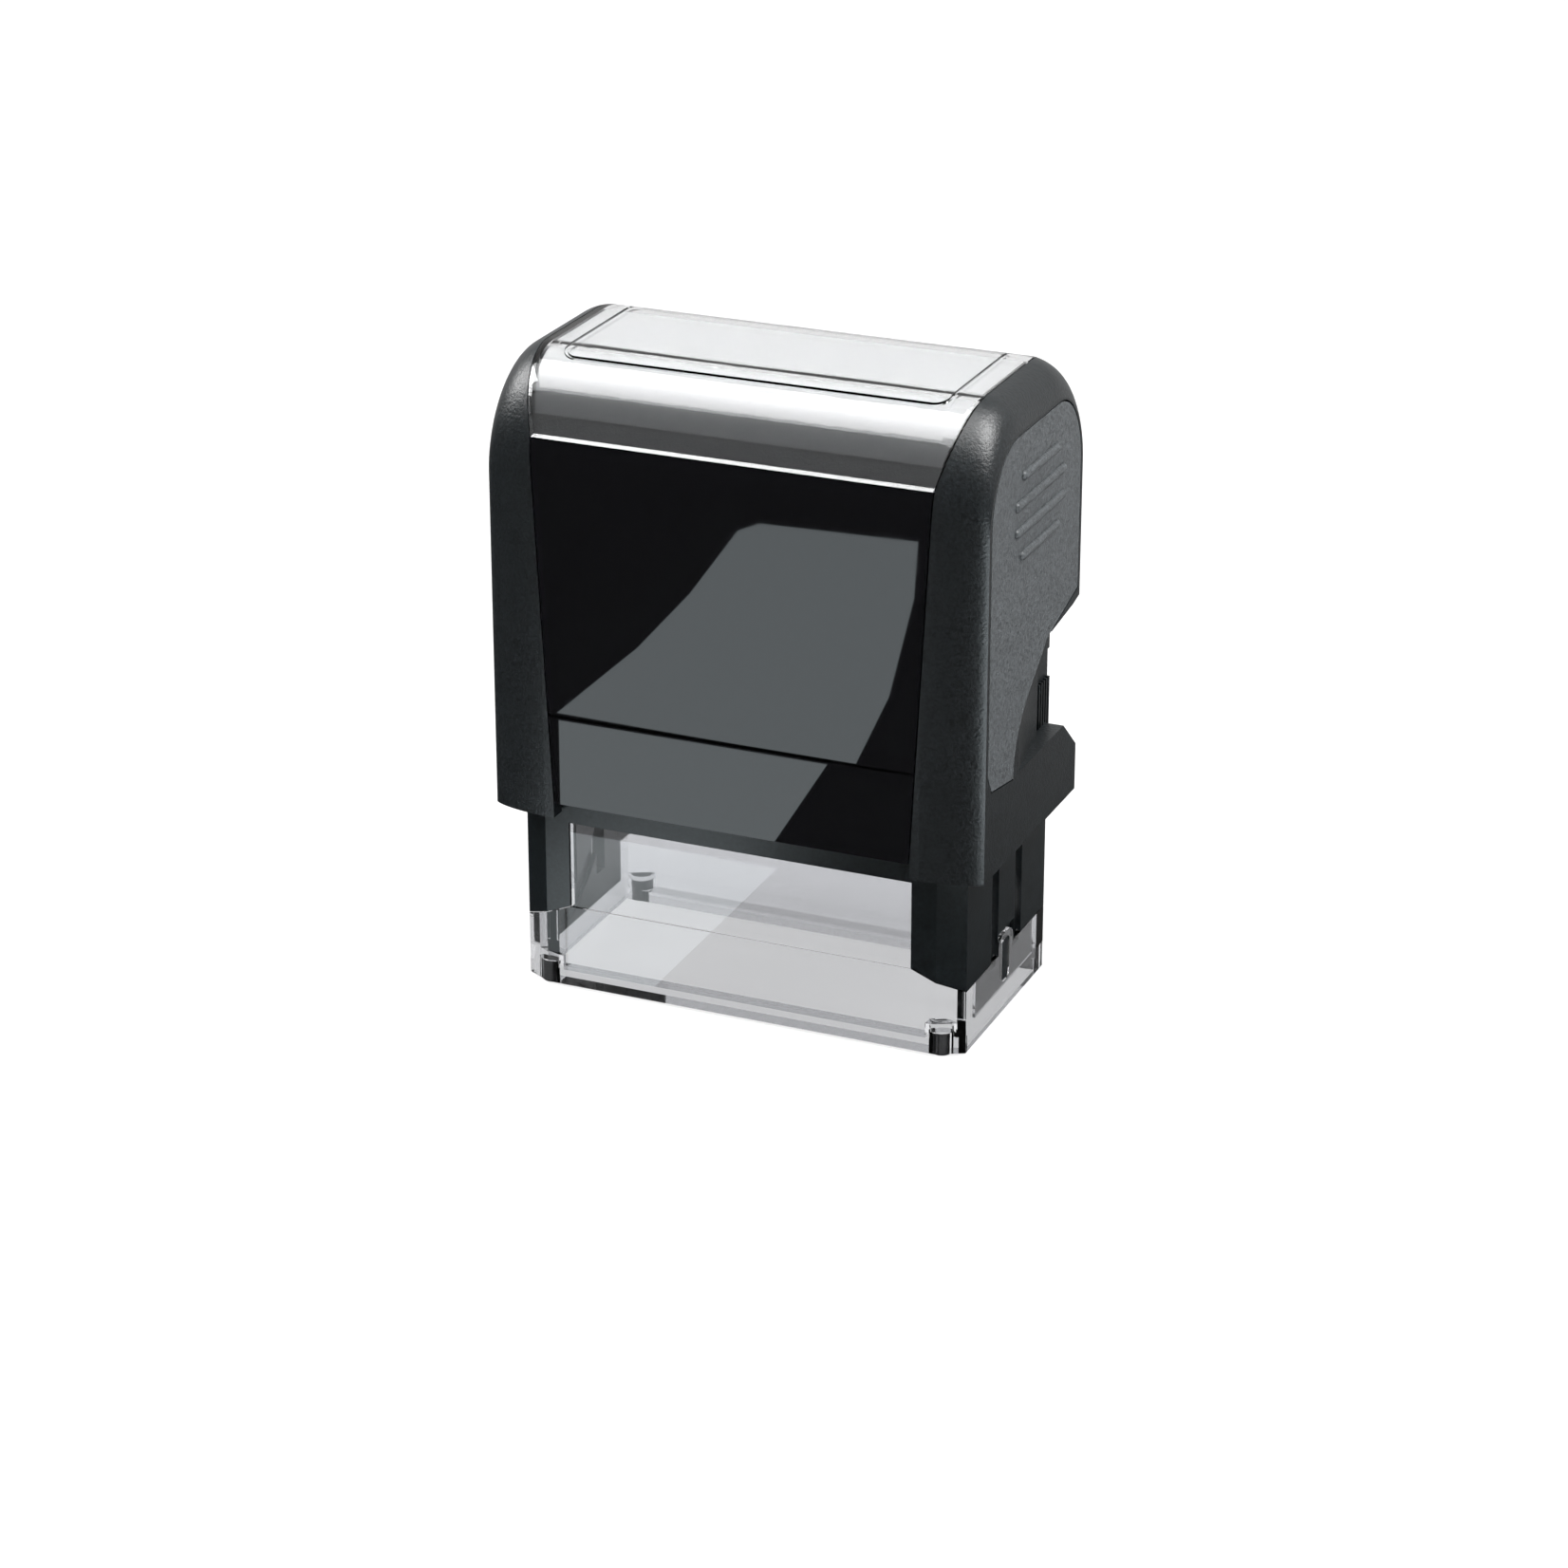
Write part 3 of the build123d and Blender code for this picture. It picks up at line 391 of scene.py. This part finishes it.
def card_material(name, tint, shade_tint):
    """Card that is pale on top, with painted shade that darkens it where it bends down over the front and
    rear.
    """
    material, tree, shader = blank_material(name)
    fibre = place_group(tree, fibre_group(), Scale=2600.0, Depth=0.05, Colour=(*tint, 1.0))
    place = add_node(tree, "ShaderNodeTexCoord").outputs["Generated"]
    height = add_node(tree, "ShaderNodeSeparateXYZ", {"Vector": place}).outputs["Z"]
    # painted shade: from the shade colour at the bottom of the card's box to its own colour at the top
    share = add_node(tree, "ShaderNodeMapRange", {"Value": height, "From Min": 0.30, "From Max": 0.95},
                     interpolation_type="SMOOTHSTEP")
    mix = add_node(tree, "ShaderNodeMix", data_type="RGBA")
    tree.links.new(share.outputs["Result"], mix.inputs["Factor"])
    mix.inputs["A"].default_value = (*shade_tint, 1.0)
    tree.links.new(fibre.outputs["Colour"], mix.inputs["B"])
    tree.links.new(mix.outputs["Result"], shader.inputs["Base Color"])
    shader.inputs["Roughness"].default_value = 0.5
    bump(tree, fibre.outputs["Height"], shader, strength=0.08, distance=0.05 * MM)
    return material


def drawn_wire(name, tint):
    """Drawn steel wire."""
    material, tree, shader = blank_material(name)
    grain = place_group(tree, moulded_grain_group(), Scale=2500.0, Roughness=0.26, Spread=0.2,
                        Colour=(*tint, 1.0))
    tree.links.new(grain.outputs["Colour"], shader.inputs["Base Color"])
    tree.links.new(grain.outputs["Roughness"], shader.inputs["Roughness"])
    shader.inputs["Metallic"].default_value = 1.0
    bump(tree, grain.outputs["Height"], shader, strength=0.2, distance=0.01 * MM)
    return material


# ------------------------------------------------------------------ pieces
def node_object(name):
    """The object that carries a CAD node."""
    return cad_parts[name]


def dress(name, material):
    """Gives a carried-over node its finish."""
    piece = node_object(name)
    piece.data.materials.clear()
    piece.data.materials.append(material)
    return piece


def soften(piece, radius):
    """Rounds the crisp edges of a node, as a mould does."""
    edge = piece.modifiers.new("Edge round", "BEVEL")
    edge.width = radius
    edge.segments = ROUND_SEGMENTS
    edge.limit_method = "ANGLE"
    edge.angle_limit = ROUND_ANGLE
    edge.harden_normals = False
    edge.use_clamp_overlap = True


def ring(mesh, centre, across, up, sides):
    """A ring of vertices round a centre, from its two half axes."""
    turns = (2 * math.pi * side / sides for side in range(sides))
    return [mesh.verts.new(centre + math.cos(turn) * across + math.sin(turn) * up) for turn in turns]


def skin(mesh, rings):
    """Faces from ring to ring, closed at both ends."""
    for first, second in zip(rings, rings[1:]):
        for side in range(len(first)):
            after = (side + 1) % len(first)
            mesh.faces.new((first[side], first[after], second[after], second[side]))
    mesh.faces.new(rings[0][::-1])
    mesh.faces.new(rings[-1])


def smooth_data(name, mesh):
    """Mesh data with smooth faces, from a bmesh."""
    data = bpy.data.meshes.new(name)
    mesh.to_mesh(data)
    mesh.free()
    data.polygons.foreach_set("use_smooth", [True] * len(data.polygons))
    return data


def place_object(name, data):
    """A new object in the scene."""
    item = bpy.data.objects.new(name, data)
    bpy.context.scene.collection.objects.link(item)
    return item


def mesh_piece(name, mesh, material, body):
    """A new piece from a bmesh, riding on a body."""
    bmesh.ops.recalc_face_normals(mesh, faces=mesh.faces)
    data = smooth_data(name, mesh)
    data.materials.append(material)
    piece = place_object(name, data)
    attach(piece, body)
    return piece


class STAMP_OT_cap(bpy.types.Operator):
    """Finish the cap: shell, gloss panels and side grips"""

    bl_idname = "stamp.cap"
    bl_label = "Cap"

    def execute(self, context):
        finish = context.scene.stamp_finish
        shell = satin_plastic("Cap plastic", finish.cap_colour, roughness=0.36, grain_size=finish.grain_size,
                              relief=1.0)
        grip = satin_plastic("Grip plastic", finish.grip_colour, roughness=0.42, grain_size=finish.grain_size,
                             relief=1.0)
        gloss = gloss_plastic("Gloss panel", finish.gloss_colour)
        soften(dress("cap_shell", shell), finish.edge_round)
        for name in ("grip_panel_left", "grip_panel_right"):
            soften(dress(name, grip), GRIP_ROUND_SHARE * finish.edge_round)
        for name in ("front_panel", "rear_panel"):
            soften(dress(name, gloss), PANEL_ROUND_SHARE * finish.edge_round)
        return {"FINISHED"}


class STAMP_OT_ribs(bpy.types.Operator):
    """Lay rounded ribs over the raised rows of both side grips"""

    bl_idname = "stamp.ribs"
    bl_label = "Grip ribs"

    def execute(self, context):
        size = context.scene.stamp_ribs
        cap_low, cap_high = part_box("cap_shell")
        material = node_object("grip_panel_right").data.materials[0]
        radius = size.width / 2
        turns = [math.pi / 2 * step / RIB_END_STEPS for step in range(RIB_END_STEPS)]
        for name, sign, face in (("grip_ribs_right", 1, cap_high.x), ("grip_ribs_left", -1, cap_low.x)):
            mesh = bmesh.new()
            for row, length_y in enumerate(size.lengths):
                z = cap_high.z - size.drop - row * size.pitch
                rear = [(length_y / 2 + radius * math.sin(turn), math.cos(turn)) for turn in turns]
                front = [(-reach, scale) for reach, scale in reversed(rear)]
                skin(mesh, [
                    ring(mesh, Vector((face, size.middle + reach, z)), Vector((0, 0, radius * scale)),
                         Vector((sign * size.height * scale, 0, 0)), RIB_SIDES)
                    for reach, scale in front + rear
                ])
            mesh_piece(name, mesh, material, "cap")
        return {"FINISHED"}


class STAMP_OT_window(bpy.types.Operator):
    """Finish the clear index window and its card"""

    bl_idname = "stamp.window"
    bl_label = "Window and card"

    def execute(self, context):
        finish = context.scene.stamp_finish
        clear = clear_plastic("Clear window", finish.window_tint)
        soften(dress("index_window", clear), finish.clear_edge_round)
        dress("index_card", card_material("Index card", finish.card_colour, finish.card_shade_colour))
        return {"FINISHED"}


class STAMP_OT_frame(bpy.types.Operator):
    """Finish the frame, the yoke and the cassette's tray"""

    bl_idname = "stamp.frame"
    bl_label = "Frame, yoke and tray"

    def execute(self, context):
        finish = context.scene.stamp_finish
        plastic = satin_plastic("Frame plastic", finish.frame_colour, roughness=0.30,
                                grain_size=finish.grain_size, relief=0.25)
        for name in ("frame", "plunger_yoke", "cassette_tray"):
            soften(dress(name, plastic), finish.edge_round)
        return {"FINISHED"}


class STAMP_OT_foot(bpy.types.Operator):
    """Finish the clear foot and its rubber feet"""

    bl_idname = "stamp.foot"
    bl_label = "Clear foot"

    def execute(self, context):
        finish = context.scene.stamp_finish
        clear = clear_plastic("Clear foot", finish.foot_tint)
        soften(dress("clear_foot", clear), finish.clear_edge_round)
        rubber = satin_plastic("Foot rubber", finish.rubber_colour, roughness=0.62,
                               grain_size=2.0 * finish.grain_size, relief=0.5)
        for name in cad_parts:
            if name.startswith("rubber_foot"):
                dress(name, rubber)
        return {"FINISHED"}


class STAMP_OT_die(bpy.types.Operator):
    """Finish the die, its foam and carrier, and the ink pad"""

    bl_idname = "stamp.die"
    bl_label = "Die and ink pad"

    def execute(self, context):
        finish = context.scene.stamp_finish
        carrier = satin_plastic("Carrier plastic", finish.carrier_colour, roughness=0.42,
                                grain_size=finish.grain_size)
        rubber = satin_plastic("Die rubber", finish.die_colour, roughness=0.5,
                               grain_size=1.5 * finish.grain_size, relief=0.4)
        foam = fibre_material("Foam", finish.foam_colour, scale=3800.0, depth=0.35, roughness=0.85,
                              relief=0.6)
        felt = fibre_material("Inked felt", finish.ink_colour, scale=3000.0, depth=0.4, roughness=0.55,
                              relief=0.7, sheen=0.2)
        soften(dress("die_carrier", carrier), finish.edge_round)
        dress("foam_layer", foam)
        dress("rubber_die", rubber)
        dress("ink_pad", felt)
        return {"FINISHED"}


class STAMP_OT_spring(bpy.types.Operator):
    """Coil the return spring with closed ends"""

    bl_idname = "stamp.spring"
    bl_label = "Return spring"

    def execute(self, context):
        size = context.scene.stamp_spring
        low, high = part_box("return_spring")
        radius = (high.x - low.x - size.wire) / 2
        height = high.z - low.z - size.wire
        closed = size.closed_turns
        total = size.turns + 2 * closed
        steps = int(total * WIRE_STEPS_PER_TURN)
        wire = size.wire / 2
        rise = size.wire * CLOSED_RISE
        body = height - 2 * closed * rise

        def place(share):
            """Point on the wire's centre line; the end turns lie flat on each other."""
            turn = share * total
            if turn < closed:
                z = turn * rise
            elif turn > total - closed:
                z = height - (total - turn) * rise
            else:
                z = closed * rise + (turn - closed) / size.turns * body
            angle = 2 * math.pi * turn
            return Vector((radius * math.cos(angle), radius * math.sin(angle), low.z + wire + z))

        mesh = bmesh.new()
        rings = []
        for step in range(steps + 1):
            centre = place(step / steps)
            before, after = place(max(0.0, (step - 1) / steps)), place(min(1.0, (step + 1) / steps))
            out = Vector((centre.x, centre.y, 0.0)).normalized()
            up = (after - before).normalized().cross(out).normalized()
            rings.append(ring(mesh, centre, wire * out, wire * up, WIRE_SIDES))
        skin(mesh, rings)
        steel = drawn_wire("Spring wire", context.scene.stamp_finish.steel_colour)
        piece = mesh_piece("coil_spring", mesh, steel, "housing")
        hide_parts("return_spring")
        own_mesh(piece)
        return {"FINISHED"}


# ------------------------------------------------------------------ stage
def area_lamp(name, power, size, place):
    """A rectangular lamp that shines at the stamp."""
    data = bpy.data.lights.new(name, "AREA")
    data.shape = "RECTANGLE"
    data.size, data.size_y = size
    data.energy = power
    lamp = place_object(name, data)
    lamp.location = place
    lamp.rotation_euler = (Vector(LAMP_AIM) - Vector(place)).to_track_quat("-Z", "Y").to_euler()


def seen_directly(tree):
    """1 where the camera sees a surface straight or through clear plastic."""
    path = add_node(tree, "ShaderNodeLightPath").outputs
    return math_node(tree, "MAXIMUM", path["Is Camera Ray"], path["Is Transmission Ray"])


def seen_mirrored(tree):
    """1 where a surface is seen in a reflection, but not through clear plastic."""
    path = add_node(tree, "ShaderNodeLightPath").outputs
    return math_node(tree, "SUBTRACT", path["Is Glossy Ray"], path["Is Transmission Ray"], clamp=True)


def stage_tree(data, name):
    """The empty tree of a new material on a stage piece."""
    material = bpy.data.materials.new(name)
    material.use_nodes = True
    material.node_tree.nodes.clear()
    data.materials.append(material)
    return material.node_tree


def mix_shaders(tree, share, first, second):
    """Two shaders mixed by a share."""
    return add_node(tree, "ShaderNodeMixShader", {0: share, 1: first.outputs[0], 2: second.outputs[0]})


def show_surface(tree, shader):
    """Links a shader to the material's surface."""
    out = add_node(tree, "ShaderNodeOutputMaterial")
    tree.links.new(shader.outputs[0], out.inputs["Surface"])


def sweep_mesh():
    """Floor that curves up into a backdrop all the way round."""
    mesh = bmesh.new()
    profile = [(0.0, 0.0), (FLOOR_REACH, 0.0)]
    for step in range(1, FLOOR_CURVE_STEPS + 1):
        turn = math.pi / 2 * step / FLOOR_CURVE_STEPS
        profile.append((FLOOR_REACH + FLOOR_CURVE * math.sin(turn), FLOOR_CURVE * (1 - math.cos(turn))))
    profile.append((FLOOR_REACH + FLOOR_CURVE, BACKDROP_HEIGHT))
    verts = [mesh.verts.new((x, 0.0, z)) for x, z in profile]
    edges = [mesh.edges.new(pair) for pair in zip(verts, verts[1:])]
    bmesh.ops.spin(mesh, geom=verts + edges, cent=(0, 0, 0), axis=(0, 0, 1), angle=2 * math.pi,
                   steps=FLOOR_TURN_STEPS, use_merge=True)
    bmesh.ops.remove_doubles(mesh, verts=mesh.verts, dist=MERGE_DISTANCE)
    bmesh.ops.recalc_face_normals(mesh, faces=mesh.faces)
    return mesh


def mirrored_on_floor(outline, plane_y, eye):
    """The places at card height that an upright plane, seen by the eye, mirrors within this outline."""
    behind = Vector((eye.x, 2 * plane_y - eye.y, eye.z))
    places = []
    for across, up in outline:
        spot = Vector((across * MM, plane_y, up * MM))
        ahead = spot - behind
        places.append(spot + ahead * ((CARD_HEIGHT - spot.z) / ahead.z))
    return places


def floor_card(name, places, strength):
    """A glowing card at these places, seen only in reflections, which paints a reflection."""
    mesh = bmesh.new()
    mesh.faces.new([mesh.verts.new(place) for place in places])
    data = bpy.data.meshes.new(name)
    mesh.to_mesh(data)
    mesh.free()
    card = place_object(name, data)
    card.visible_camera = False
    card.visible_diffuse = False
    card.visible_transmission = False
    card.visible_shadow = False
    tree = stage_tree(data, name)
    glow = add_node(tree, "ShaderNodeEmission", {"Color": GLOW_TINT, "Strength": strength})
    gone = add_node(tree, "ShaderNodeBsdfTransparent")
    show_surface(tree, mix_shaders(tree, seen_mirrored(tree), gone, glow))


class STAMP_OT_stage(bpy.types.Operator):
    """Set the camera, the pale floor, the lamps and the glowing cards whose painted reflections the stamp
    shows
    """

    bl_idname = "stamp.stage"
    bl_label = "Stage"

    def execute(self, context):
        scene = context.scene
        stage = scene.stamp_stage
        scene.view_settings.view_transform = "Standard"
        self.camera(scene, stage)
        self.floor(stage)
        self.world(scene, stage)
        self.lamps(stage)
        self.cards(scene)
        return {"FINISHED"}

    def camera(self, scene, stage):
        data = bpy.data.cameras.new("Camera")
        data.lens = stage.lens
        data.sensor_width = SENSOR_WIDTH
        data.shift_x = stage.shift_x
        data.shift_y = stage.shift_y
        data.clip_start = CLIP_NEAR
        data.clip_end = CLIP_FAR
        camera = place_object("Camera", data)
        flat = math.cos(stage.elevation)
        back = Vector((math.sin(stage.azimuth) * flat, -math.cos(stage.azimuth) * flat,
                       math.sin(stage.elevation)))
        camera.location = Vector((0, 0, stage.aim_height)) + back * stage.distance
        camera.rotation_mode = "QUATERNION"
        camera.rotation_quaternion = (-back).to_track_quat("-Z", "Y")
        scene.camera = camera

    def floor(self, stage):
        data = smooth_data("floor", sweep_mesh())
        place_object("floor", data)
        tree = stage_tree(data, "Pale floor")
        paper = add_node(tree, "ShaderNodeBsdfDiffuse", {"Color": (*stage.floor_colour, 1.0)})
        white = add_node(tree, "ShaderNodeEmission", {"Color": WHITE, "Strength": 1.0})
        share = math_node(tree, "MULTIPLY", seen_directly(tree), stage.floor_glow)
        # painted reflection: in reflections the floor glows dark in front and lighter behind, which sets the
        # stamp's sheen
        place = add_node(tree, "ShaderNodeNewGeometry").outputs["Position"]
        along = add_node(tree, "ShaderNodeSeparateXYZ", {"Vector": place}).outputs["Y"]
        tone = add_node(tree, "ShaderNodeMapRange",
                        {"Value": along, "From Min": MIRROR_FRONT_Y, "From Max": MIRROR_REAR_Y,
                         "To Min": stage.mirror_dark, "To Max": stage.mirror_light})
        mirrored = add_node(tree, "ShaderNodeEmission", {"Color": WHITE, "Strength": tone.outputs["Result"]})
        show_surface(tree, mix_shaders(tree, seen_mirrored(tree), mix_shaders(tree, share, paper, white),
                                       mirrored))

    def world(self, scene, stage):
        world = bpy.data.worlds.new("Studio")
        world.use_nodes = True
        background = world.node_tree.nodes["Background"]
        background.inputs["Color"].default_value = WHITE
        background.inputs["Strength"].default_value = stage.world_strength
        scene.world = world

    def lamps(self, stage):
        for name, power, size, place in LAMPS:
            area_lamp(name, getattr(stage, power), size, place)

    def cards(self, scene):
        """Glowing cards on the floor round the stamp, seen only as mirror images: painted reflections and
        edge highlights.
        """
        for name, node, strength, outline in PAINTED_REFLECTION_CARDS:
            plane_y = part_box(node)[0].y
            floor_card(name, mirrored_on_floor(outline, plane_y, scene.camera.location), strength)
        floor_card("edge_card", [(x * MM, y * MM, CARD_HEIGHT) for x, y in EDGE_HIGHLIGHT_OUTLINE],
                   EDGE_HIGHLIGHT_STRENGTH)


# ------------------------------------------------------------------ panel and registration
GROUPS = {"stamp_finish": StampFinish, "stamp_ribs": StampRibs, "stamp_spring": StampSpring,
          "stamp_stage": StampStage}
OPERATORS = (STAMP_OT_stage, STAMP_OT_cap, STAMP_OT_ribs, STAMP_OT_window, STAMP_OT_frame, STAMP_OT_foot,
             STAMP_OT_die, STAMP_OT_spring)


class STAMP_PT_panel(bpy.types.Panel):
    """The stamp's finishes and steps"""

    bl_label = "Self inking stamp"
    bl_space_type = "VIEW_3D"
    bl_region_type = "UI"
    bl_category = "Stamp"

    def draw(self, context):
        for operator in OPERATORS:
            self.layout.operator(operator.bl_idname)
        for group_name in GROUPS:
            group = getattr(context.scene, group_name)
            for name in group.bl_rna.properties.keys():
                if name not in ("rna_type", "name"):  # every group has these two
                    self.layout.prop(group, name)


CLASSES = (*GROUPS.values(), *OPERATORS, STAMP_PT_panel)


def register():
    for item in CLASSES:
        bpy.utils.register_class(item)
    for name, group in GROUPS.items():
        setattr(bpy.types.Scene, name, PointerProperty(type=group))


def unregister():
    for name in GROUPS:
        delattr(bpy.types.Scene, name)
    for item in reversed(CLASSES):
        bpy.utils.unregister_class(item)


def main():
    register()
    for operator in OPERATORS:
        group, step = operator.bl_idname.split(".")
        getattr(getattr(bpy.ops, group), step)()


if __name__ == "__main__":
    main()
